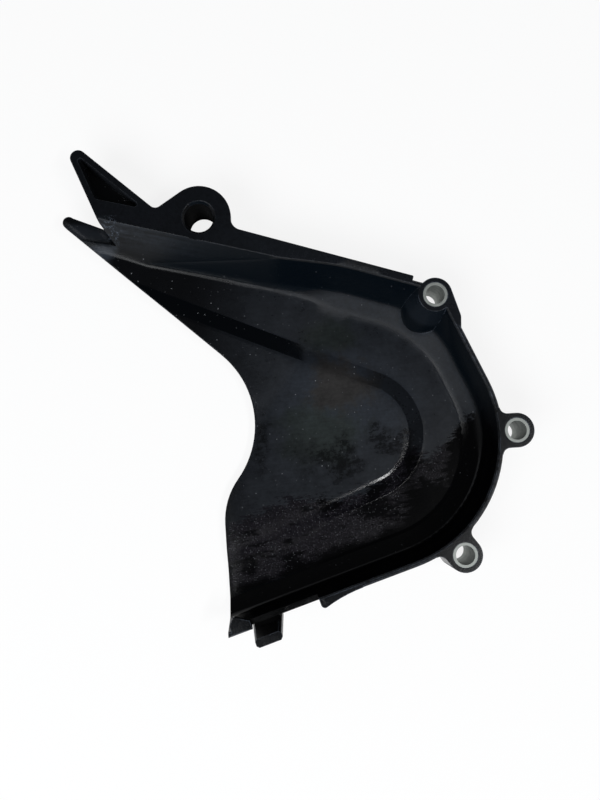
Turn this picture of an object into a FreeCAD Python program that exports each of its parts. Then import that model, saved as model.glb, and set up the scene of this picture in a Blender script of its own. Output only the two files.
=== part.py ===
import FreeCAD
import Part
import math
import os

# Sprocket cover of a small motorbike: one plastic moulding with three pressed-in steel bolt collars.
# Frame: millimetres. The origin is the middle bolt's axis on the engine-side face.
# +Z points to the engine, so the dish opens upwards and the outer face lies underneath.
# Places in plan are measured from the output shaft's axis, and so are the reaches of straight edges.

# Bolt collars and their bosses
COLLAR_BORE = 6.6
COLLAR_WALL = 1.0
COLLAR_LENGTH = 18.0
BOSS_WALL = 1.7
BOSS_DRAFT = 4.0
BOSS_FLARE_DRAFT = 20.0
EAR_REACH = 4.8
MIDDLE_BOLT_ANGLE = 3.6
LOWER_BOLT_ANGLE = -50.8
UPPER_BOLT_INSET = 3.0
EAR_FILLET = 2.6
EAR_ROOT = 6.0

# Dish round the sprocket: an arc about the output shaft with two tangent walls
RIM_RADIUS = 46.3
RIGHT_WALL_ANGLE = 26.4
BOTTOM_WALL_ANGLE = -69.8
TOP_WALL_ANGLE = 75.1
TOP_WALL_REACH = 58.0
ARM_WALL_ANGLE = 83.4
ARM_BEND_PLACE = 25.7
TOP_CORNER_RADIUS = 16.0
FOOT_CORNER_RADIUS = 40.0
FLOOR_CORNER_RADIUS = 40.0
ARM_BEND_RADIUS = 80.0
DISH_DEPTH = 18.0
RIM_WALL = 1.8
WALL_FOOT_WALL = 2.0
BAND_FOOT_WALL = 1.0
FLOOR_WALL = 2.4
EDGE_BREAK = 0.5
TOP_DRAFT = 25.0
SIDE_DRAFT = 11.0
BAND_HEIGHT = 5.0
BAND_SLOPE = 39.0
ARM_BAND_SLOPE = 55.0
WALL_FOOT_FILLET = 3.0
FLOOR_FILLET = 1.8
OUTER_WALL_FILLET = 4.0
OUTER_FLOOR_FILLET = 2.0

# Arm: the floor rises from the hinge line towards the fork
HINGE_TURN = 34.0
ARM_RISE_ANGLE = 5.9
FACET_RIDGE_START = (-37.7, 65.1)
FACET_RIDGE_END = (-95.4, 77.4)
FACET_SLOPE = 47.0
FACET_WALL = 2.4
FACET_RUNOUT = 50.0

# Raised tongue on the floor, which is a recess on the outer face
TONGUE_CENTRE = (-2.7, 2.2)
TONGUE_RADIUS = 24.3
TONGUE_TOP_ANGLE = 70.2
TONGUE_BOTTOM_ANGLE = -65.5
TONGUE_RAMP_SLOPE = 22.4
TONGUE_HEIGHT = 2.6
TONGUE_CREST_SLOPE = 11.2
TONGUE_CREST_RISE = 0.2

# Open left edge of the plate: a straight edge up the arm, a hollow waist and a round lobe
EDGE_SLOPE = 38.9
EDGE_POINT = (-76.9, 50.6)
WAIST_REACH = 40.5
WAIST_RADIUS = 33.5
LOBE_RADIUS = 25.5
LOBE_TURN = -34.9
LOBE_LEAN = 4.0

# Top flange and lug
FLANGE_THICKNESS = 2.4
FLANGE_EDGE_REACH = 59.5
FLANGE_END_GAP = 7.5
LUG_CENTRE = (-60.0, 78.0)
LUG_RADIUS = 11.3
LUG_BORE = 10.3
LUG_LENGTH = 19.0
LUG_TUBE_WALL = 3.2
LUG_FLANK_ANGLE = 126.0
LUG_CHAMFER = 0.8
LUG_FOOT_RADIUS = 4.0
VALLEY_RADIUS = 2.5

# Fork: a hollow upper prong and a flat lower prong
PRONG_EDGE = (-98.4, 99.3)
PRONG_LEAN = 24.9
PRONG_TIP_RADIUS = 2.8
PRONG_LIP = 2.2
PRONG_ROOT = 6.0
PRONG_DEPTH = 9.0
POCKET_BASE_ANGLE = 78.7
POCKET_BASE_REACH = 63.9
POCKET_RADIUS = 0.9
FORK_ROOT = (-95.1, 76.1)
NOTCH_APEX = (-90.2, 69.5)
NOTCH_MOUTH = (-101.4, 71.4)
LOWER_PRONG_ANGLE = 161.3
LOWER_PRONG_LENGTH = 11.8
FORK_WALL = 2.0

# Web that carries the upper boss down to the right wall
WEB_ANGLE = 19.3
WEB_LENGTH = 10.0
WEB_TAIL = 4.5
WEB_DEPTH = 12.0
WEB_RADIUS = 2.5

# Bottom wall: flared hook, cut-down stretch, locating tab
HOOK_START = 20.0
HOOK_END = 35.5
HOOK_FLARE = 2.0
HOOK_NOSE = 1.4
HOOK_DEPTH = 5.0
WINDOW_DEPTH = 4.5
TAB_START = 49.0
TAB_END = 60.0
TAB_TAPER = 1.8
TAB_THICKNESS = 3.0
TAB_LEAN = 4.2
TAB_RISE = 6.0
TAB_ROOT = 8.0
TAB_CHAMFER = 0.8
PAD_LENGTH = 7.0
PAD_WIDTH = 6.0
PAD_NECK = 3.0
PAD_THICKNESS = 2.4
PAD_CORNER = 2.2
PAD_SKEW = 1.0

# Room past the part for cutting tools, and how near counts as touching
FAR = 200.0
OVER = 2.0
TOUCH = 0.02

COLLAR_RADIUS = COLLAR_BORE / 2 + COLLAR_WALL
BOSS_RADIUS = COLLAR_RADIUS + BOSS_WALL
BOLT_CIRCLE = RIM_RADIUS + EAR_REACH
UP = FreeCAD.Vector(0, 0, 1)


def point(x, y, z=0.0):
    return FreeCAD.Vector(x, y, z)


def unit(angle):
    return point(math.cos(math.radians(angle)), math.sin(math.radians(angle)))


def tangent(degrees):
    return math.tan(math.radians(degrees))


def meet(angle_a, reach_a, angle_b, reach_b, centre):
    """Where two lines meet, each given by its normal's angle and its distance from centre."""
    a = unit(angle_a)
    b = unit(angle_b)
    turn = a.x * b.y - a.y * b.x
    x = (reach_a * b.y - reach_b * a.y) / turn
    y = (a.x * reach_b - b.x * reach_a) / turn
    return centre + point(x, y)


def rounded(corners):
    """A closed wire through (x, y, radius) corners, each rounded by its radius."""
    starts = []
    edges = []
    count = len(corners)
    for i in range(count):
        here = point(*corners[i][:2])
        back = (point(*corners[i - 1][:2]) - here).normalize()
        ahead = (point(*corners[(i + 1) % count][:2]) - here).normalize()
        radius = corners[i][2]
        half = back.getAngle(ahead) / 2
        if radius == 0:
            starts.append((here, here, here))
            continue
        reach = radius / math.tan(half)
        middle = (back + ahead).normalize()
        crown = here + middle * (radius / math.sin(half) - radius)
        starts.append((here + back * reach, crown, here + ahead * reach))
    for i in range(count):
        first, crown, last = starts[i]
        following = starts[(i + 1) % count][0]
        if (first - last).Length > 1e-6:
            edges.append(Part.Arc(first, crown, last).toShape())
        if (following - last).Length > 1e-6:
            edges.append(Part.LineSegment(last, following).toShape())
    return Part.Wire(edges)


def plate(wire, bottom, top):
    """A flat wire at level 0 made into a solid between two levels."""
    return raised(Part.Face(wire), bottom, top)


def raised(face, bottom, top):
    """A flat face at level 0 made into a solid between two levels."""
    return face.translated(point(0, 0, bottom)).extrude(point(0, 0, top - bottom))


def shaft():
    """The output shaft's axis; the middle bolt, on the same bolt circle as the lower one, is the origin."""
    return unit(180 + MIDDLE_BOLT_ANGLE) * BOLT_CIRCLE


def place(offset):
    """A place in plan given by its offset from the shaft's axis."""
    return shaft() + point(*offset)


def bolts():
    """Places of the three bolt axes by name."""
    top = TOP_WALL_REACH - UPPER_BOLT_INSET
    side = RIM_RADIUS - UPPER_BOLT_INSET
    return {
        "upper": meet(TOP_WALL_ANGLE, top, RIGHT_WALL_ANGLE, side, shaft()),
        "middle": shaft() + unit(MIDDLE_BOLT_ANGLE) * BOLT_CIRCLE,
        "lower": shaft() + unit(LOWER_BOLT_ANGLE) * BOLT_CIRCLE,
    }


def turn(angle_a, reach_a, angle_b, reach_b, radius):
    """Start, middle and end of the arc that rounds the corner of two walls round the shaft."""
    corner = meet(angle_a, reach_a, angle_b, reach_b, shaft())
    half = (angle_a - angle_b) / 2
    reach = radius * tangent(half)
    rise = radius / math.cos(math.radians(half)) - radius
    first = corner + unit(angle_a + 90) * reach
    last = corner + unit(angle_b - 90) * reach
    return first, corner - unit(angle_a - half) * rise, last


def arm_wall_reach():
    """Distance from the shaft to the arm's wall, which turns off the top wall at the bend."""
    bend = math.radians(ARM_WALL_ANGLE - TOP_WALL_ANGLE)
    return TOP_WALL_REACH * math.cos(bend) + ARM_BEND_PLACE * math.sin(bend)


def pan_wire(level, top_inset, side_inset, arm_inset, corner_radius):
    """The dish and arm outline at a level, drawn in from the rim by the insets."""
    centre = shaft()
    side = RIM_RADIUS - side_inset
    top = TOP_WALL_REACH - top_inset
    arm = arm_wall_reach() - arm_inset
    arm_end = meet(ARM_WALL_ANGLE, arm, 180, FAR, centre)
    bottom_end = meet(BOTTOM_WALL_ANGLE, side, 180, FAR, centre)
    bend = turn(ARM_WALL_ANGLE, arm, TOP_WALL_ANGLE, top, ARM_BEND_RADIUS - top_inset)
    corner = turn(TOP_WALL_ANGLE, top, RIGHT_WALL_ANGLE, side, corner_radius)
    arc_start = centre + unit(RIGHT_WALL_ANGLE) * side
    arc_end = centre + unit(BOTTOM_WALL_ANGLE) * side
    arc_middle = centre + unit((RIGHT_WALL_ANGLE + BOTTOM_WALL_ANGLE) / 2) * side
    edges = [
        Part.LineSegment(arm_end, bend[0]).toShape(),
        Part.Arc(*bend).toShape(),
        Part.LineSegment(bend[2], corner[0]).toShape(),
        Part.Arc(*corner).toShape(),
        Part.LineSegment(corner[2], arc_start).toShape(),
        Part.Arc(arc_start, arc_middle, arc_end).toShape(),
        Part.LineSegment(arc_end, bottom_end).toShape(),
        Part.LineSegment(bottom_end, arm_end).toShape(),
    ]
    wire = Part.Wire(edges)
    wire.translate(point(0, 0, level))
    return wire


def pan_profile(wall=0.0, foot_drop=0.0, floor_wall=0.0, floor_drop=0.0):
    """Foot and floor sections of the dish: the inner face, or one moved out and down from it."""
    foot = BAND_HEIGHT - DISH_DEPTH
    top = RIM_WALL - foot * tangent(TOP_DRAFT)
    side = RIM_WALL - foot * tangent(SIDE_DRAFT)
    band = BAND_HEIGHT / tangent(BAND_SLOPE) - floor_wall
    arm_band = BAND_HEIGHT / tangent(ARM_BAND_SLOPE) - floor_wall
    return [
        (foot - foot_drop, top - wall, side - wall, top - wall, FOOT_CORNER_RADIUS),
        (-DISH_DEPTH - floor_drop, top + band, side + band, top + arm_band, FLOOR_CORNER_RADIUS),
    ]


def rim_section(level, inset):
    return level, inset, inset, inset, TOP_CORNER_RADIUS


def pan_inner_profile():
    """Sections of the dish's inner face, from over the rim to the floor."""
    mouth = RIM_WALL - EDGE_BREAK
    rim = [rim_section(OVER, mouth), rim_section(0.0, mouth), rim_section(-EDGE_BREAK, RIM_WALL)]
    return rim + pan_profile()


def pan_outer_profile():
    """Sections of the outer skin, a wall thickness outside the inner face."""
    rim = [rim_section(0.0, EDGE_BREAK), rim_section(-EDGE_BREAK, 0.0)]
    return rim + pan_profile(WALL_FOOT_WALL, WALL_FOOT_WALL / 2, BAND_FOOT_WALL, FLOOR_WALL)


def pan_solid(profile):
    wires = [pan_wire(*section) for section in profile]
    return Part.makeLoft(wires, True, True)


def edge_line():
    """Normal angle and reach of the arm's straight open edge."""
    angle = 90 - EDGE_SLOPE
    return angle, point(*EDGE_POINT).dot(unit(angle))


def waist_centre():
    """Centre of the hollow waist, which is tangent to the straight edge and comes near the shaft."""
    angle, reach = edge_line()
    return meet(angle, reach - WAIST_RADIUS, 180, WAIST_REACH + WAIST_RADIUS, shaft())


def hinge_frame():
    """A point on the hinge line, the direction along it and the direction to the fork."""
    foot = waist_centre() + unit(0) * WAIST_RADIUS
    return foot, unit(90 - HINGE_TURN), unit(180 - HINGE_TURN)


def floor_level(p):
    """Height of the floor's top: flat in the dish and rising along the arm."""
    foot, along, to_fork = hinge_frame()
    out = (p - foot).dot(to_fork)
    if out < 0 or (p - foot).dot(along) < 0:
        return -DISH_DEPTH
    return out * tangent(ARM_RISE_ANGLE) - DISH_DEPTH


def edge_places(edge):
    """The ends and the middle of an edge."""
    middle = edge.valueAt((edge.FirstParameter + edge.LastParameter) / 2)
    return [vertex.Point for vertex in edge.Vertexes] + [middle]


def over_part(edge):
    """Whether an edge reaches the part, and isn't only at the far end that the open edge trims off."""
    return max(p.x for p in edge_places(edge)) > shaft().x - FAR / 2


def level_edges(solid, level):
    """The level edges of a solid at a height."""
    found = []
    for edge in solid.Edges:
        if over_part(edge) and all(abs(p.z - level) < TOUCH for p in edge_places(edge)):
            found.append(edge)
    return found


def floor_edges(solid, drop):
    """The edges of a solid at its floor, which lies a drop under the inner floor, but for the hinge's."""
    foot, along, to_fork = hinge_frame()
    found = []
    for edge in solid.Edges:
        places = edge_places(edge)
        on_floor = all(abs(p.z + drop - floor_level(p)) < TOUCH for p in places)
        on_hinge = all(abs((p - foot).dot(to_fork)) < TOUCH for p in places)
        on_side = all(abs((p - foot).dot(along)) < TOUCH for p in places)
        if on_floor and over_part(edge) and not on_hinge and not on_side:
            found.append(edge)
    return found


def column_under(corners):
    """A deep solid under a sloping face given by its corners."""
    top = [point(*c) for c in corners]
    bottom = [point(c.x, c.y, -FAR) for c in top]
    return Part.makeLoft(
        [Part.makePolygon(bottom + bottom[:1]), Part.makePolygon(top + top[:1])], True, True
    )


def arm_column(lift):
    """Everything under the rising arm floor, moved up by lift, a function of the place."""
    foot, along, to_fork = hinge_frame()
    rise = tangent(ARM_RISE_ANGLE)
    corners = []
    for reach_along, reach_out in ((0, 0), (FAR, 0), (FAR, FAR), (0, FAR)):
        p = foot + along * reach_along + to_fork * reach_out
        corners.append((p.x, p.y, rise * reach_out - DISH_DEPTH + lift(p)))
    return column_under(corners)


def floor_top(p):
    return 0.0


def floor_underside(p):
    return -FLOOR_WALL


def tongue_top(p):
    return TONGUE_HEIGHT


def tongue_depth(p):
    """Distance in from the foot line of the tongue's upper ramp."""
    return TONGUE_RADIUS - (p - place(TONGUE_CENTRE)).dot(unit(TONGUE_TOP_ANGLE))


def tongue_ramp_height(p):
    """Height of the tongue's upper ramp above the floor."""
    return tongue_depth(p) * tangent(TONGUE_RAMP_SLOPE)


def tongue_crest():
    """Insets of the two lines between which the ramp turns over into the tongue's top."""
    start = (TONGUE_HEIGHT - TONGUE_CREST_RISE) / tangent(TONGUE_RAMP_SLOPE)
    return start, start + TONGUE_CREST_RISE / tangent(TONGUE_CREST_SLOPE)


def tongue_crest_height(p):
    """Height of the broken crest above the floor."""
    return TONGUE_HEIGHT + (tongue_depth(p) - tongue_crest()[1]) * tangent(TONGUE_CREST_SLOPE)


def tongue_wire(level, inset):
    centre = place(TONGUE_CENTRE)
    radius = TONGUE_RADIUS - inset
    top_end = meet(TONGUE_TOP_ANGLE, radius, 180, FAR / 2, centre)
    bottom_end = meet(TONGUE_BOTTOM_ANGLE, radius, 180, FAR / 2, centre)
    top_start = centre + unit(TONGUE_TOP_ANGLE) * radius
    bottom_start = centre + unit(TONGUE_BOTTOM_ANGLE) * radius
    nose = centre + unit((TONGUE_TOP_ANGLE + TONGUE_BOTTOM_ANGLE) / 2) * radius
    edges = [
        Part.LineSegment(top_end, top_start).toShape(),
        Part.Arc(top_start, nose, bottom_start).toShape(),
        Part.LineSegment(bottom_start, bottom_end).toShape(),
        Part.LineSegment(bottom_end, top_end).toShape(),
    ]
    wire = Part.Wire(edges)
    wire.translate(point(0, 0, level))
    return wire


def tongue():
    """The raised tongue: a flat-floor part right of the hinge and a rising part on the arm."""
    foot, along, to_fork = hinge_frame()
    top = TONGUE_HEIGHT - DISH_DEPTH
    crest_start, crest_end = tongue_crest()
    wires = [
        tongue_wire(-DISH_DEPTH, 0),
        tongue_wire(top - TONGUE_CREST_RISE, crest_start),
        tongue_wire(top, crest_end),
    ]
    flat = Part.makeLoft(wires, True, True)
    left = [foot - along * FAR, foot + along * FAR]
    left += [left[1] + to_fork * FAR, left[0] + to_fork * FAR]
    flat = flat.cut(plate(Part.makePolygon(left + left[:1]), -FAR, FAR))
    rising = arm_column(tongue_top)
    rising = rising.common(arm_column(tongue_ramp_height)).common(arm_column(tongue_crest_height))
    return flat, rising


def facet(grow, top):
    """The space under a level and over the sloping facet that breaks the arm wall's upper edge."""
    start = place(FACET_RIDGE_START)
    end = place(FACET_RIDGE_END)
    along = (end - start).normalize()
    inwards = point(-along.y, along.x)
    ridge = start - along * FACET_RUNOUT - inwards * (grow / math.sin(math.radians(FACET_SLOPE)))
    depth = DISH_DEPTH - OVER
    foot = ridge + inwards * (depth / tangent(FACET_SLOPE))
    corners = [
        ridge - inwards * (top / tangent(FACET_SLOPE)) + UP * top,
        foot - UP * depth,
        foot + UP * top,
    ]
    face = Part.Face(Part.makePolygon(corners + corners[:1]))
    return face.extrude(end - start + along * FACET_RUNOUT * 2)


def cavity():
    """The space inside the dish and the arm."""
    flat_tongue, rising_tongue = tongue()
    space = pan_solid(pan_inner_profile())
    space = space.makeFillet(WALL_FOOT_FILLET, level_edges(space, BAND_HEIGHT - DISH_DEPTH))
    space = space.fuse(facet(0, OVER)).cut(arm_column(floor_top)).removeSplitter().Solids[0]
    space = space.makeFillet(FLOOR_FILLET, floor_edges(space, 0))
    return space.cut(flat_tongue).cut(rising_tongue)


def skin():
    """The outer form of the dish and the arm, with the tongue's recess underneath."""
    flat_tongue, rising_tongue = tongue()
    drop = point(0, 0, -FLOOR_WALL)
    profile = pan_outer_profile()
    form = pan_solid(profile)
    form = form.makeFillet(OUTER_WALL_FILLET, level_edges(form, profile[2][0]))
    form = form.fuse(facet(FACET_WALL, 0)).cut(arm_column(floor_underside)).removeSplitter().Solids[0]
    form = form.makeFillet(OUTER_FLOOR_FILLET, floor_edges(form, FLOOR_WALL))
    return form.cut(flat_tongue.translated(drop)).cut(rising_tongue.translated(drop))


def open_edge():
    """The part's plan right of the open left edge: fork, straight edge, waist and lobe."""
    waist = waist_centre()
    lobe = waist + unit(LOBE_TURN) * (WAIST_RADIUS + LOBE_RADIUS)
    edge_normal, edge_reach = edge_line()
    lobe_end = lobe + unit(180 + LOBE_LEAN) * LOBE_RADIUS
    foot = lobe_end + unit(270 + LOBE_LEAN) * FAR
    turn_over = waist + unit(LOBE_TURN) * WAIST_RADIUS
    straight = waist + unit(edge_normal) * WAIST_RADIUS
    lobe_middle = lobe + unit(180 + (LOBE_LEAN + LOBE_TURN) / 2) * LOBE_RADIUS
    waist_middle = waist + unit((edge_normal + LOBE_TURN) / 2) * WAIST_RADIUS
    root = place(FORK_ROOT)
    tip_top = root + unit(LOWER_PRONG_ANGLE) * LOWER_PRONG_LENGTH
    width = (tip_top - shaft()).dot(unit(edge_normal)) - edge_reach
    tip_foot = tip_top - unit(edge_normal) * width
    tip = (tip_top + tip_foot) * 0.5 + unit(edge_normal + 90) * (width / 2)
    edges = [
        Part.LineSegment(foot, lobe_end).toShape(),
        Part.Arc(lobe_end, lobe_middle, turn_over).toShape(),
        Part.Arc(turn_over, waist_middle, straight).toShape(),
        Part.LineSegment(straight, tip_foot).toShape(),
        Part.Arc(tip_foot, tip, tip_top).toShape(),
    ]
    above = root + unit(90 + PRONG_LEAN) * FAR
    corners = [tip_top, root, above, root + point(FAR, FAR), point(FAR, -FAR), foot]
    for first, last in zip(corners, corners[1:]):
        edges.append(Part.LineSegment(first, last).toShape())
    return Part.Wire(edges)


def prong_top():
    """Normal angle and reach of the upper prong's long edge, parallel to the open edge."""
    angle = 90 - EDGE_SLOPE
    return angle, point(*PRONG_EDGE).dot(unit(angle))


def prong_left():
    """Normal angle and reach of the upper prong's left edge."""
    angle = 180 + PRONG_LEAN
    return angle, point(*FORK_ROOT).dot(unit(angle))


def moved(line, distance):
    """A line given by normal angle and reach, moved along its normal."""
    return line[0], line[1] + distance


def line_corners(lines, radii):
    """Rounded corners where each line meets the next."""
    corners = []
    for first, last, radius in zip(lines, lines[1:], radii):
        p = meet(*first, *last, shaft())
        corners.append((p.x, p.y, radius))
    return corners


def flange():
    """The flat top flange with the lug's outline and the upper prong's face."""
    lug = point(*LUG_CENTRE)
    flank = (LUG_FLANK_ANGLE, lug.dot(unit(LUG_FLANK_ANGLE)) + LUG_RADIUS)
    crown = (LUG_FLANK_ANGLE / 2, lug.dot(unit(LUG_FLANK_ANGLE / 2)) + LUG_RADIUS)
    side = (0, lug.x + LUG_RADIUS)
    edge = (TOP_WALL_ANGLE, FLANGE_EDGE_REACH)
    end = (0, bolts()["upper"].x - shaft().x - FLANGE_END_GAP)
    lines = [prong_left(), prong_top(), flank, crown, side, edge, end]
    radii = [PRONG_TIP_RADIUS, VALLEY_RADIUS, LUG_RADIUS, LUG_RADIUS, LUG_FOOT_RADIUS, EDGE_BREAK]
    corners = line_corners(lines, radii)
    corners += [(p.x, p.y, 0) for p in (shaft(), place(NOTCH_APEX), place(FORK_ROOT))]
    return plate(rounded(corners), -FLANGE_THICKNESS, 0)


def prong_block(inset, base_inset, tip_radius, bottom, top):
    """A block on the upper prong's three-cornered plan, drawn in by the insets."""
    upper = moved(prong_top(), -inset)
    left = moved(prong_left(), -inset)
    base = moved((POCKET_BASE_ANGLE, POCKET_BASE_REACH), base_inset)
    corners = line_corners([left, upper, base, left], [tip_radius, POCKET_RADIUS, POCKET_RADIUS])
    return plate(rounded(corners), bottom, top)


def upper_prong():
    bottom = -PRONG_DEPTH - FLOOR_WALL
    return prong_block(0, -PRONG_ROOT, PRONG_TIP_RADIUS, bottom, 0)


def prong_pocket():
    return prong_block(PRONG_LIP, 0, POCKET_RADIUS, -PRONG_DEPTH, OVER)


def notch_face(grow):
    """Plan of the notch between the prongs, open to the left, with its walls moved out by grow."""
    root = place(FORK_ROOT)
    apex = place(NOTCH_APEX)
    mouth = place(NOTCH_MOUTH)
    beyond = mouth + (mouth - apex).normalize() * FAR
    above = root + unit(180 - EDGE_SLOPE) * FAR
    face = Part.Face(Part.makePolygon([root, apex, beyond, above, root]))
    if grow > 0:
        face = face.makeOffset2D(grow, 2)
    return face


def lower_prong():
    """The flat prong: the arm's floor carried on to a point."""
    floor = arm_column(floor_top).cut(arm_column(floor_underside))
    return floor.common(raised(notch_face(FORK_WALL), -FAR, FAR))


def fork_walls():
    """The upright walls round the notch between the prongs."""
    walls = raised(notch_face(FORK_WALL), -DISH_DEPTH, 0)
    return walls.cut(arm_column(floor_underside))


def notch():
    """The open space over the lower prong."""
    return raised(notch_face(0), -DISH_DEPTH, OVER).cut(arm_column(floor_top))


def ear(bolt):
    """A bolt boss outside the dish wall, on a web with a fillet on each side where it meets the rim."""
    centre = shaft()
    axis = (bolt - centre).normalize()
    across = point(-axis.y, axis.x)
    reach = math.sqrt((RIM_RADIUS + EAR_FILLET) ** 2 - (BOSS_RADIUS + EAR_FILLET) ** 2)
    share = RIM_RADIUS / (RIM_RADIUS + EAR_FILLET)
    sides = []
    for side in (across, -across):
        hollow = centre + axis * reach + side * (BOSS_RADIUS + EAR_FILLET)
        rim = centre + (hollow - centre) * share
        flank = hollow - side * EAR_FILLET
        bend = hollow + ((rim - hollow) + (flank - hollow)).normalize() * EAR_FILLET
        sides.append((rim - axis * EAR_ROOT, rim, bend, flank, bolt + side * BOSS_RADIUS))
    root_a, rim_a, bend_a, flank_a, shoulder_a = sides[0]
    root_b, rim_b, bend_b, flank_b, shoulder_b = sides[1]
    edges = [
        Part.LineSegment(root_a, rim_a).toShape(),
        Part.Arc(rim_a, bend_a, flank_a).toShape(),
        Part.LineSegment(flank_a, shoulder_a).toShape(),
        Part.Arc(shoulder_a, bolt + axis * BOSS_RADIUS, shoulder_b).toShape(),
        Part.LineSegment(shoulder_b, flank_b).toShape(),
        Part.Arc(flank_b, bend_b, rim_b).toShape(),
        Part.LineSegment(rim_b, root_b).toShape(),
        Part.LineSegment(root_b, root_a).toShape(),
    ]
    web = plate(Part.Wire(edges), BAND_HEIGHT - DISH_DEPTH, 0)
    return web.fuse(post(bolt, BOSS_RADIUS, COLLAR_LENGTH))


def upper_boss():
    """The corner boss, which widens towards the floor."""
    foot = BOSS_RADIUS + COLLAR_LENGTH * tangent(BOSS_DRAFT)
    return Part.makeCone(foot, BOSS_RADIUS, COLLAR_LENGTH, bolts()["upper"] - UP * COLLAR_LENGTH, UP)


def boss_flare():
    """The corner boss inside the dish, a cone that spreads into the band."""
    wide = BOSS_RADIUS + DISH_DEPTH * tangent(BOSS_FLARE_DRAFT)
    return Part.makeCone(wide, BOSS_RADIUS, DISH_DEPTH, bolts()["upper"] - UP * DISH_DEPTH, UP)


def boss_web():
    """The web that runs from the upper boss down the outside of the right wall."""
    boss = bolts()["upper"]
    shoulder = boss + unit(WEB_ANGLE) * BOSS_RADIUS
    end = shoulder + unit(WEB_ANGLE - 90) * WEB_LENGTH
    tail = end - point(0, WEB_TAIL)
    corners = [(boss, 0), (shoulder, 0), (end, WEB_RADIUS), (tail, 0)]
    return plate(rounded([(p.x, p.y, radius) for p, radius in corners]), -WEB_DEPTH, 0)


def post(axis, radius, length, over=0.0):
    """An upright round bar from the engine-side face down."""
    return Part.makeCylinder(radius, length + 2 * over, axis - UP * (length + over), UP)


def lug_tube():
    return post(place(LUG_CENTRE), LUG_BORE / 2 + LUG_TUBE_WALL, LUG_LENGTH)


def lug_bore():
    axis = place(LUG_CENTRE)
    radius = LUG_BORE / 2
    mouth = Part.makeCone(radius, radius + LUG_CHAMFER, LUG_CHAMFER, axis - UP * LUG_CHAMFER, UP)
    return post(axis, radius, LUG_LENGTH, OVER).fuse(mouth)


def wall_place(along, out, z=0.0):
    """A place on the bottom wall: distance along it from its tangent point, and out from its face."""
    normal = unit(BOTTOM_WALL_ANGLE)
    left = unit(BOTTOM_WALL_ANGLE - 90)
    return shaft() + normal * (RIM_RADIUS + out) + left * along + UP * z


def wall_block(start, end, inner, outer, bottom, top):
    corners = []
    for along, out in ((start, inner), (end, inner), (end, outer), (start, outer)):
        corners.append(wall_place(along, out))
    return plate(Part.makePolygon(corners + corners[:1]), bottom, top)


def hook():
    """The rim's flared end on the bottom wall."""
    run = HOOK_END - HOOK_NOSE - HOOK_START
    radius = (run ** 2 + HOOK_FLARE ** 2) / (2 * HOOK_FLARE)
    bulge = radius - math.sqrt(radius ** 2 - (run / 2) ** 2)
    start = wall_place(HOOK_START, 0)
    middle = wall_place(HOOK_START + run / 2, bulge)
    end = wall_place(HOOK_END - HOOK_NOSE, HOOK_FLARE)
    corner = wall_place(HOOK_END, HOOK_FLARE - HOOK_NOSE)
    back = [corner, wall_place(HOOK_END, -RIM_WALL), wall_place(HOOK_START, -RIM_WALL), start]
    short = HOOK_NOSE * (1 - math.sqrt(0.5))
    nose = wall_place(HOOK_END - short, HOOK_FLARE - short)
    edges = [Part.Arc(start, middle, end).toShape(), Part.Arc(end, nose, corner).toShape()]
    for first, last in zip(back, back[1:]):
        edges.append(Part.LineSegment(first, last).toShape())
    return plate(Part.Wire(edges), -HOOK_DEPTH, 0)


def window():
    """The cut-down stretch of the bottom wall, with the slot beside the tab."""
    inner = -RIM_WALL - WINDOW_DEPTH * tangent(SIDE_DRAFT) - OVER
    return wall_block(HOOK_END, TAB_END, inner, HOOK_FLARE + OVER, -WINDOW_DEPTH, OVER)


def tab():
    """The leaning tab that locates the cover's lower end, with its upright edges broken."""
    wires = []
    for z, lean, taper in ((-TAB_ROOT, 0.0, 0.0), (TAB_RISE, TAB_LEAN, TAB_TAPER)):
        inner = lean - RIM_WALL
        outer = inner + TAB_THICKNESS
        start = TAB_START + taper
        corners = [
            (start + TAB_CHAMFER, inner),
            (TAB_END - TAB_CHAMFER, inner),
            (TAB_END, inner + TAB_CHAMFER),
            (TAB_END, outer - TAB_CHAMFER),
            (TAB_END - TAB_CHAMFER, outer),
            (start + TAB_CHAMFER, outer),
            (start, outer - TAB_CHAMFER),
            (start, inner + TAB_CHAMFER),
        ]
        places = [wall_place(along, out, z) for along, out in corners]
        wires.append(Part.makePolygon(places + places[:1]))
    return Part.makeLoft(wires, True, True)


def corner_pad():
    """The flat pad that ends the rim beside the tab."""
    end = TAB_END + PAD_LENGTH
    plan = [
        (TAB_END, 0),
        (end, -PAD_SKEW),
        (end, -PAD_WIDTH + PAD_CORNER),
        (end - PAD_CORNER, -PAD_WIDTH),
        (TAB_END, -PAD_NECK),
    ]
    places = [wall_place(along, out) for along, out in plan]
    return plate(Part.makePolygon(places + places[:1]), -PAD_THICKNESS, 0)


def cover():
    axes = bolts()
    space = cavity()
    form = skin().fuse(flange()).fuse(lower_prong()).fuse(fork_walls())
    form = form.common(plate(open_edge(), -FAR, FAR))
    for name in ("middle", "lower"):
        form = form.fuse(ear(axes[name]))
    form = form.fuse(boss_web()).fuse(hook()).fuse(upper_prong())
    form = form.cut(space).cut(notch()).cut(prong_pocket())
    form = form.cut(window()).fuse(tab()).fuse(corner_pad())
    form = form.fuse(boss_flare().common(space))
    form = form.fuse(upper_boss()).fuse(lug_tube()).cut(lug_bore())
    for axis in axes.values():
        form = form.cut(post(axis, COLLAR_RADIUS, COLLAR_LENGTH, OVER))
    return form.removeSplitter()


def collar(axis):
    tube = post(axis, COLLAR_RADIUS, COLLAR_LENGTH)
    return tube.cut(post(axis, COLLAR_BORE / 2, COLLAR_LENGTH, OVER))


os.makedirs("parts", exist_ok=True)
cover().exportStep("parts/sprocket_cover.step")
for name, axis in bolts().items():
    collar(axis).exportStep(f"parts/{name}_bolt_collar.step")
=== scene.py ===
import math
from types import SimpleNamespace
import bpy
from mathutils import Matrix, Vector


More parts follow.
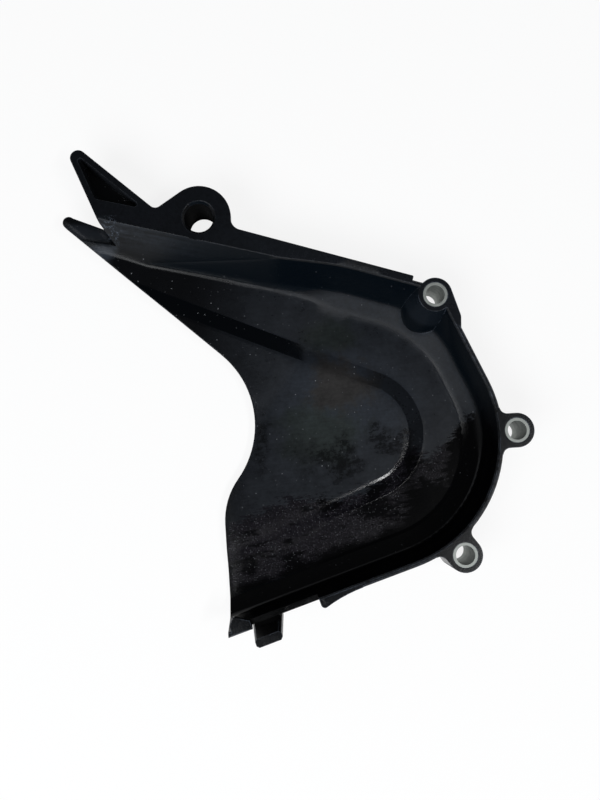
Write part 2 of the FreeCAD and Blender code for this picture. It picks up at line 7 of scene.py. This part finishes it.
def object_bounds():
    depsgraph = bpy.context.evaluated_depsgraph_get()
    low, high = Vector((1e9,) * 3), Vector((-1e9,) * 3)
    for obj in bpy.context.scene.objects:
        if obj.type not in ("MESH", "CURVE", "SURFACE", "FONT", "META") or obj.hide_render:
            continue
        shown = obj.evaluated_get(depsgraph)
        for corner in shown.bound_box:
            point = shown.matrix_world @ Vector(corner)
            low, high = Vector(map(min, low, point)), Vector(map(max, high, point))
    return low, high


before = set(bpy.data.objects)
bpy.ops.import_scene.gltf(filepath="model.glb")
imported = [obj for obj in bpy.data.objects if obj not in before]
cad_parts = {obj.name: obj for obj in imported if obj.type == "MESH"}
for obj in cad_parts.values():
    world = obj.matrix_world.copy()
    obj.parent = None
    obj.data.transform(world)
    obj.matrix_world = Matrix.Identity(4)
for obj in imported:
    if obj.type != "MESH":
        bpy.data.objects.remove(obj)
cad_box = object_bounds()
scene = bpy.context.scene
scene.view_settings.view_transform = "Standard"

MM = 0.001

# Places are in plan, in millimetres. Axes of the shaft, the upper boss and the top lug:
SHAFT = (-51.0, -3.2)
UPPER_BOSS = (-27.9, 47.5)
TOP_LUG = (-111.0, 74.8)
# Lines, by a point on the line and the direction across it in degrees
FACET_TOP = (-88.7, 61.9, 77.7)
ARM_HINGE = (-91.5, 2.0, 146)
# Lines across the floor: where the dust film ends and where the dry grime below it ends
FILM_EDGE = (
    (-112, -39), (-101, -35), (-75.4, -24.7), (-62, -25.5), (-42, -15),
    (-35, -6), (-27, -9), (-20, -3), (-12, 6), (-4, 13),
)
GRIME_EDGE = (
    (-110, -57), (-99, -56.3), (-81, -51.7), (-68, -44.5),
    (-53, -40.5), (-40, -34.3), (-30, -30),
)
# Ovals, by centre, half length and half height
RUBBED_SPOT = (-57.0, 11.0, 36.0, 26.0)
DIRTY_SPOTS = ((-62.0, -10.5, 17.0, 11.0), (-89.0, -5.0, 4.0, 12.0), (-43.0, -2.5, 12.0, 7.0))
WARM_SPOT = (-61.0, 17.0, 17.0, 14.0)
OLIVE_SPOTS = ((-68.0, -1.0, 20.0, 17.0), (-64.0, 36.0, 12.0, 8.0))
FORK_SCUFF = (-142.0, 70.5, 4.5, 6.5)
PRONG_SCUFF = (-146.5, 64.5, 7.0, 3.5)
GRIME_CORNER = (-27.5, -11.5, 9.0, 9.0)
WET_SPOTS = (
    (-77.0, -47.5, 7.8, 5.85), (-47.5, -27.5, 10.4, 6.5), (-47.6, -20.5, 9.1, 5.2),
    (-65.0, -26.2, 6.5, 3.9), (-98.0, -48.5, 6.5, 4.55),
)

# Colours of the plastic: bare, under oil, the dust film and what lies on it
BARE_PLASTIC = (0.0012, 0.0013, 0.0016, 1.0)
OILY_PLASTIC = (0.0004, 0.0004, 0.0006, 1.0)
FILM_BLUE_GREY = (0.0092, 0.0112, 0.0146, 1.0)
FILM_OLIVE = (0.0092, 0.0122, 0.0120, 1.0)
FILM_WARM = (0.0128, 0.0122, 0.0120, 1.0)
GRIT_COLOUR = (0.050, 0.045, 0.056, 1.0)
SPECK_COLOUR = (0.24, 0.25, 0.27, 1.0)
# Amounts added to the colour: a painted blue reflection on the walls, and the grime's cast
BLUE_REFLECTION_CAST = (-0.0005, 0.0009, 0.0025)
GRIME_CAST = (0.0014, 0.0009, 0.0022)
PLASTIC_ROUGHNESS = 0.22
POLISHED_ROUGHNESS = 0.09
PLASTIC_IOR = 1.4
PLASTIC_SPECULAR = 0.25

STEEL_STAINED = (0.17, 0.19, 0.18, 1.0)
STEEL_CLEAN = (0.35, 0.37, 0.35, 1.0)
STEEL_TOP = (0.33, 0.345, 0.33, 1.0)

# Radii of the shading, in metres: worn edges that also carry painted highlights, broken edges, and
# edges moulded soft
WEAR_AND_HIGHLIGHT_RADIUS = 0.0006
EDGE_BREAK = 0.0005
STEEL_EDGE_BREAK = 0.0002
FACET_SOFT = 0.0035
HINGE_SOFT = 0.006
BAND_SOFT = 0.0035
# Turns of the shading normal: the facet into the wall, and the lug's bore up to the dim sky
FACET_TURN = (0.0, -0.17, -0.25)
BORE_TURN = (0.0, 0.0, 4.0)

# Middle of the part in plan: the floor lies under it, and the lamps point at it
MIDDLE = Vector((-0.075, 0.01, 0.0))
FLOOR_SIZE = 24.0
FLOOR_GAP = 0.0001
FLOOR_COLOUR = (0.86, 0.86, 0.86, 1.0)
# Share of white glow in the floor where it is seen directly or mirrored
FLOOR_GLOW = 0.85

# Camera nearly straight over the open side
EYE = Vector((-79.81, -11.05, 270.0)) * MM
AIM = Vector((-75.33, 10.35, 0.0)) * MM
FOCUS_PX = 783.0
LONG_SIDE_PX = 800.0
SENSOR_MM = 36.0
CLIP_START = 0.01

# The world is bright at the horizon and dim above: heights and strengths of the two ends
SKY_COLOUR = (0.92, 0.96, 1.0, 1.0)
SKY_HEIGHTS = (0.10, 0.36)
SKY_STRENGTHS = (0.9, 0.06)


class Graph:
    """A material's node graph. Each method adds nodes and returns an output socket."""

    # Full part of an oval and of a speck, as a share of its size
    BLOB_CORE = 0.35
    SPECK_CORE = 0.4
    # Cosines of the turn within the radius, on a flat face and at a sharp edge
    FLAT_TURN = 0.985
    SHARP_TURN = 0.86
    BEVEL_SAMPLES = 4

    def __init__(self, name):
        self.material = bpy.data.materials.new(name)
        self.material.use_nodes = True
        self.tree = self.material.node_tree
        self.tree.nodes.clear()
        coords = self.tree.nodes.new("ShaderNodeTexCoord")
        self.normal = coords.outputs["Normal"]
        self.mm = self.vector("SCALE", coords.outputs["Object"], scale=1.0 / MM)
        self.x, self.y, self.z = self.split(self.mm)
        self.nx, self.ny, self.nz = self.split(self.normal)

    def put(self, socket, value):
        if isinstance(value, bpy.types.NodeSocket):
            self.tree.links.new(value, socket)
        else:
            socket.default_value = value

    def split(self, vector):
        node = self.tree.nodes.new("ShaderNodeSeparateXYZ")
        self.tree.links.new(vector, node.inputs[0])
        return node.outputs

    def math(self, operation, a, b=0.0, clamp=False):
        node = self.tree.nodes.new("ShaderNodeMath")
        node.operation = operation
        node.use_clamp = clamp
        self.put(node.inputs[0], a)
        self.put(node.inputs[1], b)
        return node.outputs[0]

    def add(self, *terms):
        total = terms[0]
        for term in terms[1:]:
            total = self.math("ADD", total, term)
        return total

    def sub(self, a, b):
        return self.math("SUBTRACT", a, b)

    def mul(self, *factors):
        product = factors[0]
        for factor in factors[1:]:
            product = self.math("MULTIPLY", product, factor)
        return product

    def least(self, a, b):
        return self.math("MINIMUM", a, b)

    def most(self, *values):
        largest = values[0]
        for value in values[1:]:
            largest = self.math("MAXIMUM", largest, value)
        return largest

    def without(self, mask):
        return self.sub(1.0, mask)

    def less(self, value, mask, share):
        """The value, with a share of it taken off where the mask is 1."""
        return self.mul(value, self.without(self.mul(mask, share)))

    def sway(self, noise, amount):
        """Noise about its middle, scaled to an amount."""
        return self.mul(self.sub(noise, 0.5), amount)

    def vector(self, operation, a, b=(0, 0, 0), scale=1.0):
        node = self.tree.nodes.new("ShaderNodeVectorMath")
        node.operation = operation
        self.put(node.inputs[0], a)
        if operation == "SCALE":
            self.put(node.inputs["Scale"], scale)
        else:
            self.put(node.inputs[1], b)
        return node.outputs["Vector"]

    def push(self, vector, change, share):
        """The vector or colour, plus a share of a change."""
        return self.vector("ADD", vector, self.vector("SCALE", change, scale=share))

    def step(self, value, low, high, start=0.0, end=1.0):
        """A smooth step from start to end as value goes from low to high."""
        node = self.tree.nodes.new("ShaderNodeMapRange")
        node.interpolation_type = "SMOOTHSTEP"
        for socket, entry in zip(node.inputs, (value, low, high, start, end)):
            self.put(socket, entry)
        return node.outputs[0]

    def between(self, value, low, high, soft):
        rise = self.step(value, low - soft, low + soft)
        fall = self.step(value, high + soft, high - soft)
        return self.mul(rise, fall)

    def past(self, x, y, angle):
        """Distance in plan past a line through (x, y), along the direction at an angle."""
        a = math.radians(angle)
        along_x = self.mul(self.sub(self.x, x), math.cos(a))
        along_y = self.mul(self.sub(self.y, y), math.sin(a))
        return self.add(along_x, along_y)

    def far(self, x, y, across=1.0, tall=1.0):
        """Distance in plan from a point, in half lengths and half heights of an oval."""
        dx = self.mul(self.sub(self.x, x), 1.0 / across)
        dy = self.mul(self.sub(self.y, y), 1.0 / tall)
        return self.math("SQRT", self.add(self.mul(dx, dx), self.mul(dy, dy)))

    def outward(self, x, y):
        """Distance in plan from an axis, times how squarely the surface faces away from it."""
        along_x = self.mul(self.nx, self.sub(self.x, x))
        along_y = self.mul(self.ny, self.sub(self.y, y))
        return self.add(along_x, along_y)

    def blob(self, x, y, across, tall, wobble, amount):
        """1 inside an oval in plan, falling softly to 0 at its edge, which noise makes wander."""
        far = self.add(self.far(x, y, across, tall), self.sway(wobble, amount))
        return self.step(far, 1.0, self.BLOB_CORE)

    def blobs(self, spots, wobble, amount):
        """1 inside any of several ovals."""
        return self.most(*(self.blob(*spot, wobble, amount) for spot in spots))

    def turned(self, angle, along, across):
        """Coordinates turned in plan and scaled, for marks drawn out along a direction."""
        node = self.tree.nodes.new("ShaderNodeMapping")
        node.vector_type = "TEXTURE"
        self.put(node.inputs["Vector"], self.mm)
        node.inputs["Rotation"].default_value = (0, 0, math.radians(angle))
        node.inputs["Scale"].default_value = (along, across, across)
        return node.outputs[0]

    def noise(self, size, detail, rough, seed, place=None):
        """Soft noise whose features are about size millimetres across."""
        node = self.tree.nodes.new("ShaderNodeTexNoise")
        node.noise_dimensions = "4D"
        self.put(node.inputs["Vector"], self.mm if place is None else place)
        node.inputs["W"].default_value = seed
        node.inputs["Scale"].default_value = 1.0 / size
        node.inputs["Detail"].default_value = detail
        node.inputs["Roughness"].default_value = rough
        return node.outputs["Fac"]

    def specks(self, size, radius, share, seed):
        """Round specks in a share of the cells of a grid of about size millimetres."""
        node = self.tree.nodes.new("ShaderNodeTexVoronoi")
        node.voronoi_dimensions = "2D"
        self.put(node.inputs["Vector"], self.vector("ADD", self.mm, (seed, seed, 0.0)))
        node.inputs["Scale"].default_value = 1.0 / size
        edge = radius / size
        dot = self.step(node.outputs["Distance"], edge, self.SPECK_CORE * edge)
        tint = self.tree.nodes.new("ShaderNodeSeparateColor")
        self.tree.links.new(node.outputs["Color"], tint.inputs[0])
        keep = self.math("LESS_THAN", tint.outputs[0], share)
        return self.mul(dot, keep, tint.outputs[1])

    def curve(self, value, points):
        """A smooth line through (value, result) points."""
        lows = [min(p[i] for p in points) for i in (0, 1)]
        spans = [max(p[i] for p in points) - lows[i] for i in (0, 1)]
        places = [[(p[i] - lows[i]) / spans[i] for i in (0, 1)] for p in points]
        node = self.tree.nodes.new("ShaderNodeFloatCurve")
        line = node.mapping.curves[0].points
        line[0].location = places[0]
        line[1].location = places[-1]
        for place in places[1:-1]:
            line.new(*place)
        node.mapping.update()
        share = self.math("MULTIPLY", self.sub(value, lows[0]), 1.0 / spans[0], clamp=True)
        self.put(node.inputs["Value"], share)
        return self.add(self.mul(node.outputs[0], spans[1]), lows[1])

    def mix(self, share, a, b):
        """Colour a turning into colour b as the share goes from 0 to 1."""
        node = self.tree.nodes.new("ShaderNodeMix")
        node.data_type = "RGBA"
        self.put(node.inputs["Factor"], share)
        # The node has a set of sockets for each data type, and these are the ones for colours
        self.put(node.inputs[6], a)
        self.put(node.inputs[7], b)
        return node.outputs[2]

    def bevel(self, radius):
        node = self.tree.nodes.new("ShaderNodeBevel")
        node.samples = self.BEVEL_SAMPLES
        self.put(node.inputs["Radius"], radius)
        return node.outputs[0]

    def sharp(self, radius):
        """1 at sharp edges and corners, by how far the normal turns within a radius."""
        node = self.tree.nodes.new("ShaderNodeVectorMath")
        node.operation = "DOT_PRODUCT"
        self.put(node.inputs[0], self.bevel(radius))
        self.put(node.inputs[1], self.normal)
        return self.step(node.outputs["Value"], self.FLAT_TURN, self.SHARP_TURN)

    def bump(self, height, strength, depth, normal):
        node = self.tree.nodes.new("ShaderNodeBump")
        node.inputs["Strength"].default_value = strength
        node.inputs["Distance"].default_value = depth
        self.put(node.inputs["Height"], height)
        self.put(node.inputs["Normal"], normal)
        return node.outputs[0]

    def finish(self, **sockets):
        shader = self.tree.nodes.new("ShaderNodeBsdfPrincipled")
        for name, value in sockets.items():
            self.put(shader.inputs[name.replace("_", " ")], value)
        output = self.tree.nodes.new("ShaderNodeOutputMaterial")
        self.tree.links.new(shader.outputs[0], output.inputs[0])
        return self.material


# The cover's plastic: t holds its noise textures and m its masks

def plastic_textures(g):
    return SimpleNamespace(
        clouds=g.noise(size=24, detail=4, rough=0.6, seed=1.0),
        patches=g.noise(size=7, detail=4, rough=0.65, seed=2.0),
        fine=g.noise(size=1.2, detail=3, rough=0.6, seed=3.0),
        grain=g.noise(size=0.42, detail=2, rough=0.5, seed=4.0),
        grit=g.noise(size=0.42, detail=2, rough=0.7, seed=9.0),
        dabs=g.noise(size=1.0, detail=4, rough=0.65, seed=5.0, place=g.turned(15, 9.0, 2.0)),
        rubs=g.noise(size=1.0, detail=3, rough=0.6, seed=8.0, place=g.turned(-11, 16.0, 1.4)),
        streaks=g.noise(size=1.0, detail=4, rough=0.7, seed=10.0, place=g.turned(6, 7.0, 0.8)),
    )


def mark_shapes(g, m):
    """Masks of the moulded shapes, by place and by the way they face."""
    m.level = g.step(g.nz, 0.5, 0.8)
    m.rim = g.step(g.z, -2.0, -0.4)
    m.inside = g.without(m.rim)
    m.wall = g.mul(g.between(g.nz, 0.1, 0.62, 0.05), g.step(g.z, -17.0, -15.0))

    # Ramp round the tongue and the bevel on its crest
    m.ramp = g.between(g.nz, 0.88, 0.95, 0.015)
    m.crest = g.between(g.nz, 0.972, 0.988, 0.004)

    # Long facet of the arm, and the part of it that turns into the wall
    m.facet = g.mul(
        g.between(g.nz, 0.25, 0.73, 0.03),
        g.step(g.ny, -0.5, -0.62),
        g.between(g.x, -145.0, -84.0, 4.0),
    )
    m.facet_bend = g.mul(m.facet, g.step(g.nz, 0.58, 0.64), g.step(g.x, -142.0, -114.0))
    m.down_facet = g.sub(0.0, g.past(*FACET_TOP))

    # Outer face, with the sides of the arm and the lug's tube
    upright = g.step(g.nz, 0.25, 0.1)
    from_lug = g.far(*TOP_LUG)
    lug_tube = g.between(from_lug, 6.9, 9.1, 0.5)
    arm_side = g.mul(g.step(g.x, -100.0, -106.0), g.step(from_lug, 6.4, 7.4))
    m.outside = g.most(
        g.mul(g.step(g.outward(*SHAFT), 2.0, 12.0), upright),
        g.mul(g.most(arm_side, lug_tube), upright),
        g.step(g.nz, -0.1, -0.4),
    )
    m.lug_bore = g.mul(g.step(from_lug, 7.4, 6.4), g.step(g.nz, 0.3, 0.1))


def mark_dirt(g, t, m):
    """Masks of the dust film, the grime under its edge, the oil, and the painted shade on the
    tongue's upper ramp.
    """
    # The film ends in a ragged line over the lower and right part of the floor
    ragged = g.add(
        g.sway(t.patches, 8.0), g.sway(t.dabs, 9.0),
        g.sway(t.streaks, 11.0), g.sway(t.fine, 4.0),
    )
    film_line = g.curve(g.x, FILM_EDGE)
    m.film = g.step(g.add(g.sub(g.y, film_line), ragged), -1.2, 1.8)
    off_film = g.without(m.film)

    # Painted shade: the upper ramp of the tongue along the arm is kept dark, almost free of dust
    wiped_end = g.add(g.x, g.mul(t.fine, 3.0))
    m.wiped = g.mul(m.ramp, g.step(g.ny, 0.15, 0.3), g.step(wiped_end, -71.0, -74.5))

    # Dry dust on the sloping band and its foot towards the upper corner
    m.dusty = g.mul(
        g.step(g.x, -98.0, -38.0),
        g.step(g.add(g.y, ragged), 6.0, 10.0),
        g.step(g.far(*SHAFT), 36.0, 42.0),
        g.step(g.nz, 0.996, 0.97),
        g.step(g.nz, 0.6, 0.72),
    )

    # Dry grime in a stripe under the film's edge, with wet patches
    grime_line = g.curve(g.x, GRIME_EDGE)
    over_grime_line = g.add(g.sub(g.y, grime_line), g.sway(t.patches, 9.0), g.sway(t.streaks, 6.0))
    stripe = g.mul(
        off_film,
        g.step(over_grime_line, -2.0, 3.0),
        g.step(g.add(g.x, ragged), -34.0, -41.0),
    )
    broken = g.add(t.patches, t.dabs, -0.5)
    corner = g.mul(g.blob(*GRIME_CORNER, broken, 3.0), off_film, 0.7)
    m.stripe = g.most(stripe, corner)
    wet = g.most(
        g.step(g.add(t.dabs, g.sway(t.streaks, 0.8)), 0.54, 0.66),
        g.blobs(WET_SPOTS, broken, 3.0),
    )
    m.grime = g.mul(m.stripe, g.without(g.mul(wet, 0.9)), m.level)
    m.oily = g.mul(off_film, g.without(m.grime), m.inside, g.without(m.outside))
    m.polished = g.mul(m.crest, g.step(g.y, 2.0, -3.0), g.step(g.x, -66.0, -46.0))


def dust_and_highlight_amount(g, t, m):
    """How much dust lies at each place, about 1 in a full film, with painted highlights on edges
    and on the upper boss added in, and painted shade on the tongue's upper ramp.
    """
    rubbed = g.blob(*RUBBED_SPOT, t.clouds, 0.5)
    texture = g.add(1.0, g.sway(t.streaks, 0.8), g.sway(t.fine, 0.9), g.sway(t.patches, 1.2))
    along_arm = g.step(g.x, -118.0, -78.0, 0.10, 1.0)
    thin_on_rim = g.step(g.z, -2.0, -0.4, 1.0, 0.3)
    amount = g.add(0.50, g.mul(t.clouds, 0.6), g.mul(rubbed, 0.75))
    amount = g.mul(amount, texture, m.film, along_arm, thin_on_rim)

    # The upper ramp in painted shade keeps almost no dust, and the nose of the tongue keeps half
    amount = g.less(amount, m.wiped, 0.97)
    nose = g.mul(m.ramp, g.step(g.x, -56.0, -44.0))
    amount = g.less(amount, nose, 0.5)

    # Dirty mottled patches low on the tongue
    mottled = g.step(g.add(t.fine, t.dabs), 0.82, 1.12)
    amount = g.less(amount, g.mul(g.blobs(DIRTY_SPOTS, t.patches, 2.2), mottled), 0.8)

    # Dry dust on the band, then on the flat of the rim
    dry = g.step(g.add(t.fine, t.grain), 0.85, 1.2, 0.0, 0.30)
    amount = g.mul(g.add(amount, g.mul(m.dusty, dry)), m.level)
    rim_dust = g.add(0.10, g.mul(t.clouds, 0.3), g.sway(t.fine, 0.4))
    amount = g.add(amount, g.mul(m.rim, g.step(g.nz, 0.9, 0.98), rim_dust))

    # Handling smears on the facet near the fork, fading down its slope
    fork = g.mul(g.step(g.x, -98.0, -142.0), g.step(m.down_facet, 9.5, 1.5))
    smears = g.add(0.2, g.mul(g.sub(t.rubs, 0.4), 4.0), g.sway(t.fine, 2.0))
    smears = g.mul(m.facet, fork, g.most(smears, 0.0))
    amount = g.add(g.mul(amount, g.without(m.facet)), smears)

    # Scuffs at the fork, and dust on the lower prong
    flecks = g.step(g.add(t.fine, g.mul(t.grain, 0.5)), 0.78, 0.9)
    scuffs = g.add(
        g.mul(g.blob(*FORK_SCUFF, t.dabs, 0.6), flecks),
        g.mul(g.blob(*PRONG_SCUFF, t.fine, 0.8), 0.35),
    )
    amount = g.add(amount, g.mul(scuffs, g.step(g.nz, 0.2, 0.4), 4.0))
    prong = g.mul(g.step(g.x, -142.0, -146.0), g.step(g.y, 75.5, 73.5), m.level)
    amount = g.add(amount, g.mul(prong, g.add(0.45, g.mul(t.clouds, 0.5))))

    # Painted highlight on the cone of the boss in the upper corner, towards its top
    from_boss = g.far(*UPPER_BOSS)
    facing_off = g.math("DIVIDE", g.outward(*UPPER_BOSS), from_boss)
    boss_highlight = g.mul(g.between(g.nz, 0.2, 0.5, 0.05), g.step(facing_off, 0.55, 0.75))
    amount = g.add(amount, g.mul(boss_highlight, g.step(from_boss, 10.0, 8.8), 0.45))

    # Outer face with dust rubbed into its moulded grain
    rubbed_in = g.add(0.35, g.mul(t.clouds, 0.7), g.sway(t.rubs, 0.8))
    amount = g.add(g.mul(amount, g.without(m.outside)), g.mul(m.outside, rubbed_in))

    # Edges are rubbed grey and carry a painted highlight, much stronger along the right and lower
    # rim, and not where oil covers them
    rim_highlight_side = g.most(g.step(g.x, -40.0, -25.0), g.step(g.y, -40.0, -48.0))
    worn = g.step(g.add(t.patches, g.mul(t.fine, 0.5)), 0.60, 0.85)
    dry_edge = g.without(g.mul(g.without(m.film), m.inside))
    edge = g.mul(g.sharp(WEAR_AND_HIGHLIGHT_RADIUS), worn, dry_edge)
    return g.add(amount, g.mul(edge, g.add(1.4, g.mul(rim_highlight_side, 6.0))))


def plastic_colour(g, t, m, dust_and_highlight):
    # Film tints: blue grey, with a warm smear and an olive cast on the tongue
    olive = g.blobs(OLIVE_SPOTS, t.patches, 1.6)
    warm = g.blob(*WARM_SPOT, t.patches, 2.0)
    tint = g.mix(warm, g.mix(olive, FILM_BLUE_GREY, FILM_OLIVE), FILM_WARM)
    base = g.mix(m.oily, BARE_PLASTIC, OILY_PLASTIC)
    colour = g.vector("ADD", g.vector("SCALE", tint, scale=dust_and_highlight), base)

    # Painted reflection: a blue cast on the upper wall and where the facet turns into it, and a
    # share of it on the upper ramp in painted shade
    upper_wall = g.mul(m.wall, g.step(g.y, -5.0, 25.0))
    colour = g.push(colour, BLUE_REFLECTION_CAST, g.most(upper_wall, m.facet_bend, g.mul(m.wiped, 0.35)))
    colour = g.push(colour, GRIME_CAST, m.grime)

    grit = g.mul(g.step(t.grit, 0.56, 0.64), g.step(t.patches, 0.36, 0.56, 0.25, 1.0))
    colour = g.mix(g.mul(m.grime, grit, 0.42), colour, GRIT_COLOUR)

    # Pale specks, in clusters on the film and finer in the grime
    clusters = g.step(t.patches, 0.5, 0.62, 0.15, 1.0)
    on_film = g.add(0.2, g.mul(m.film, 0.8))
    specks = g.add(
        g.mul(g.specks(size=2.4, radius=0.26, share=0.25, seed=60.0), m.inside, clusters, on_film),
        g.mul(g.specks(size=0.5, radius=0.15, share=0.12, seed=70.0), m.stripe, 0.6),
    )
    specks = g.mul(specks, g.step(g.nz, 0.3, 0.6))
    return g.mix(g.mul(specks, 0.8), colour, SPECK_COLOUR)


def plastic_roughness(g, t, m, dust_and_highlight):
    rough = g.add(
        PLASTIC_ROUGHNESS,
        g.mul(g.least(dust_and_highlight, 1.0), 0.10), g.mul(m.grime, 0.05), g.sway(t.patches, 0.06),
        g.mul(m.facet, 0.15), g.mul(m.dusty, 0.24), g.mul(m.outside, 0.22), g.mul(m.oily, -0.06),
    )
    # Part of the tongue's crest is polished
    return g.sub(rough, g.mul(m.polished, g.sub(rough, POLISHED_ROUGHNESS)))


def plastic_normal(g, t, m):
    # Edges are broken. The facet, the arm's hinge line and the foot of the band are moulded soft
    facet_edge = g.mul(
        g.step(g.x, -84.0, -96.0),
        g.step(m.down_facet, 0.8, 2.2),
        g.step(m.down_facet, 11.0, 9.0),
    )
    near_level = g.step(g.nz, 0.8, 0.9)
    hinge = g.mul(g.between(g.past(*ARM_HINGE), -6.0, 6.0, 2.0), near_level)
    lower_left = g.mul(g.step(g.x, -64.0, -70.0), g.step(g.y, -16.0, -20.0), near_level)
    hinge = g.most(hinge, lower_left)
    band_foot = g.mul(
        g.step(g.x, -92.0, -80.0),
        g.step(g.z, -9.0, -12.0),
        g.without(g.between(g.nz, 0.90, 0.995, 0.003)),
        g.step(g.y, -12.0, 0.0),
    )
    soft = g.most(
        g.mul(facet_edge, FACET_SOFT), g.mul(hinge, HINGE_SOFT), g.mul(band_foot, BAND_SOFT),
    )
    normal = g.bevel(g.add(EDGE_BREAK, soft))
    # The facet turns into the wall along the arm
    normal = g.vector("NORMALIZE", g.push(normal, FACET_TURN, m.facet_bend))

    # Moulded grain, smoothed where there is oil
    under_oil = g.without(g.mul(m.oily, 0.6))
    grain = g.mul(t.grain, g.without(m.polished), under_oil)
    normal = g.bump(grain, strength=0.2, depth=0.0001, normal=normal)
    fine = g.mul(t.fine, g.add(1.0, m.outside), under_oil)
    normal = g.bump(fine, strength=0.10, depth=0.0002, normal=normal)
    # The bore of the top lug stays dark
    return g.vector("NORMALIZE", g.push(normal, BORE_TURN, m.lug_bore))


def black_plastic():
    g = Graph("black_plastic")
    t = plastic_textures(g)
    m = SimpleNamespace()
    mark_shapes(g, m)
    mark_dirt(g, t, m)
    dust_and_highlight = dust_and_highlight_amount(g, t, m)
    return g.finish(
        Base_Color=plastic_colour(g, t, m, dust_and_highlight),
        Roughness=plastic_roughness(g, t, m, dust_and_highlight),
        Normal=plastic_normal(g, t, m),
        IOR=PLASTIC_IOR,
        Specular_IOR_Level=PLASTIC_SPECULAR,
    )


def zinc_steel():
    g = Graph("zinc_steel")
    stain = g.noise(size=2.2, detail=4, rough=0.6, seed=11.0)
    pitting = g.noise(size=0.4, detail=2, rough=0.5, seed=12.0)
    top = g.step(g.z, -0.5, -0.2)
    colour = g.mix(g.step(stain, 0.3, 0.75), STEEL_STAINED, STEEL_CLEAN)
    edges = g.bevel(STEEL_EDGE_BREAK)
    return g.finish(
        Base_Color=g.mix(g.mul(top, 0.6), colour, STEEL_TOP),
        Metallic=1.0,
        Roughness=g.add(0.5, g.mul(stain, 0.2)),
        Normal=g.bump(pitting, strength=0.2, depth=0.00008, normal=edges),
    )


def floor_material():
    """A pale floor that takes shadows, and glows towards the camera and in reflections."""
    g = Graph("pale_floor")
    tree = g.tree
    path = tree.nodes.new("ShaderNodeLightPath")
    seen = path.outputs["Is Camera Ray"]
    for ray in ("Is Glossy Ray", "Is Transmission Ray"):
        seen = g.math("ADD", seen, path.outputs[ray], clamp=True)
    diffuse = tree.nodes.new("ShaderNodeBsdfDiffuse")
    diffuse.inputs["Color"].default_value = FLOOR_COLOUR
    glow = tree.nodes.new("ShaderNodeEmission")
    glow.inputs["Strength"].default_value = 1.0
    mix = tree.nodes.new("ShaderNodeMixShader")
    output = tree.nodes.new("ShaderNodeOutputMaterial")
    g.put(mix.inputs[0], g.mul(seen, FLOOR_GLOW))
    tree.links.new(diffuse.outputs[0], mix.inputs[1])
    tree.links.new(glow.outputs[0], mix.inputs[2])
    tree.links.new(mix.outputs[0], output.inputs[0])
    return g.material


def dress(obj, material):
    obj.data.materials.clear()
    obj.data.materials.append(material)


plastic = black_plastic()
steel = zinc_steel()
for name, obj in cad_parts.items():
    dress(obj, steel if name.endswith("collar") else plastic)

# Floor, just below the part
floor_place = (MIDDLE.x, MIDDLE.y, cad_box[0][2] - FLOOR_GAP)
bpy.ops.mesh.primitive_plane_add(size=FLOOR_SIZE, location=floor_place)
ground = bpy.context.object
ground.name = "floor"
dress(ground, floor_material())


def facing(eye, aim, up):
    """The place and turn of a camera or lamp at eye that points at aim."""
    back = (eye - aim).normalized()
    right = Vector(up).cross(back).normalized()
    top = back.cross(right)
    turn = Matrix((right, top, back)).transposed()
    return Matrix.Translation(eye) @ turn.to_4x4()


camera_data = bpy.data.cameras.new("camera")
camera_data.sensor_width = SENSOR_MM
camera_data.lens = SENSOR_MM * FOCUS_PX / LONG_SIDE_PX
camera_data.clip_start = CLIP_START
camera = bpy.data.objects.new("camera", camera_data)
camera.matrix_world = facing(EYE, AIM, (0, 1, 0))
scene.collection.objects.link(camera)
scene.camera = camera


def lamp(name, azimuth, elevation, distance, size, watts, colour=(1, 1, 1)):
    """A rectangular lamp, in a direction from the middle of the object."""
    a = math.radians(azimuth)
    e = math.radians(elevation)
    way = Vector((math.cos(a) * math.cos(e), math.sin(a) * math.cos(e), math.sin(e)))
    data = bpy.data.lights.new(name, "AREA")
    data.shape = "RECTANGLE"
    data.size, data.size_y = size
    data.energy = watts
    data.color = colour
    obj = bpy.data.objects.new(name, data)
    obj.matrix_world = facing(MIDDLE + way * distance, MIDDLE, (0, 0, 1))
    scene.collection.objects.link(obj)


lamp("window", azimuth=-125, elevation=50, distance=1.1, size=(1.0, 0.6), watts=12.0,
     colour=(0.96, 0.98, 1.0))
lamp("strip", azimuth=-28, elevation=62, distance=1.0, size=(0.42, 0.045), watts=3.6)

world = bpy.data.worlds.new("world")
world.use_nodes = True
tree = world.node_tree
coords = tree.nodes.new("ShaderNodeTexCoord")
split = tree.nodes.new("ShaderNodeSeparateXYZ")
height = tree.nodes.new("ShaderNodeMapRange")
height.interpolation_type = "SMOOTHSTEP"
for socket, entry in zip(height.inputs[1:5], SKY_HEIGHTS + SKY_STRENGTHS):
    socket.default_value = entry
tree.links.new(coords.outputs["Generated"], split.inputs[0])
tree.links.new(split.outputs[2], height.inputs[0])
background = tree.nodes["Background"]
background.inputs["Color"].default_value = SKY_COLOUR
tree.links.new(height.outputs[0], background.inputs["Strength"])
scene.world = world
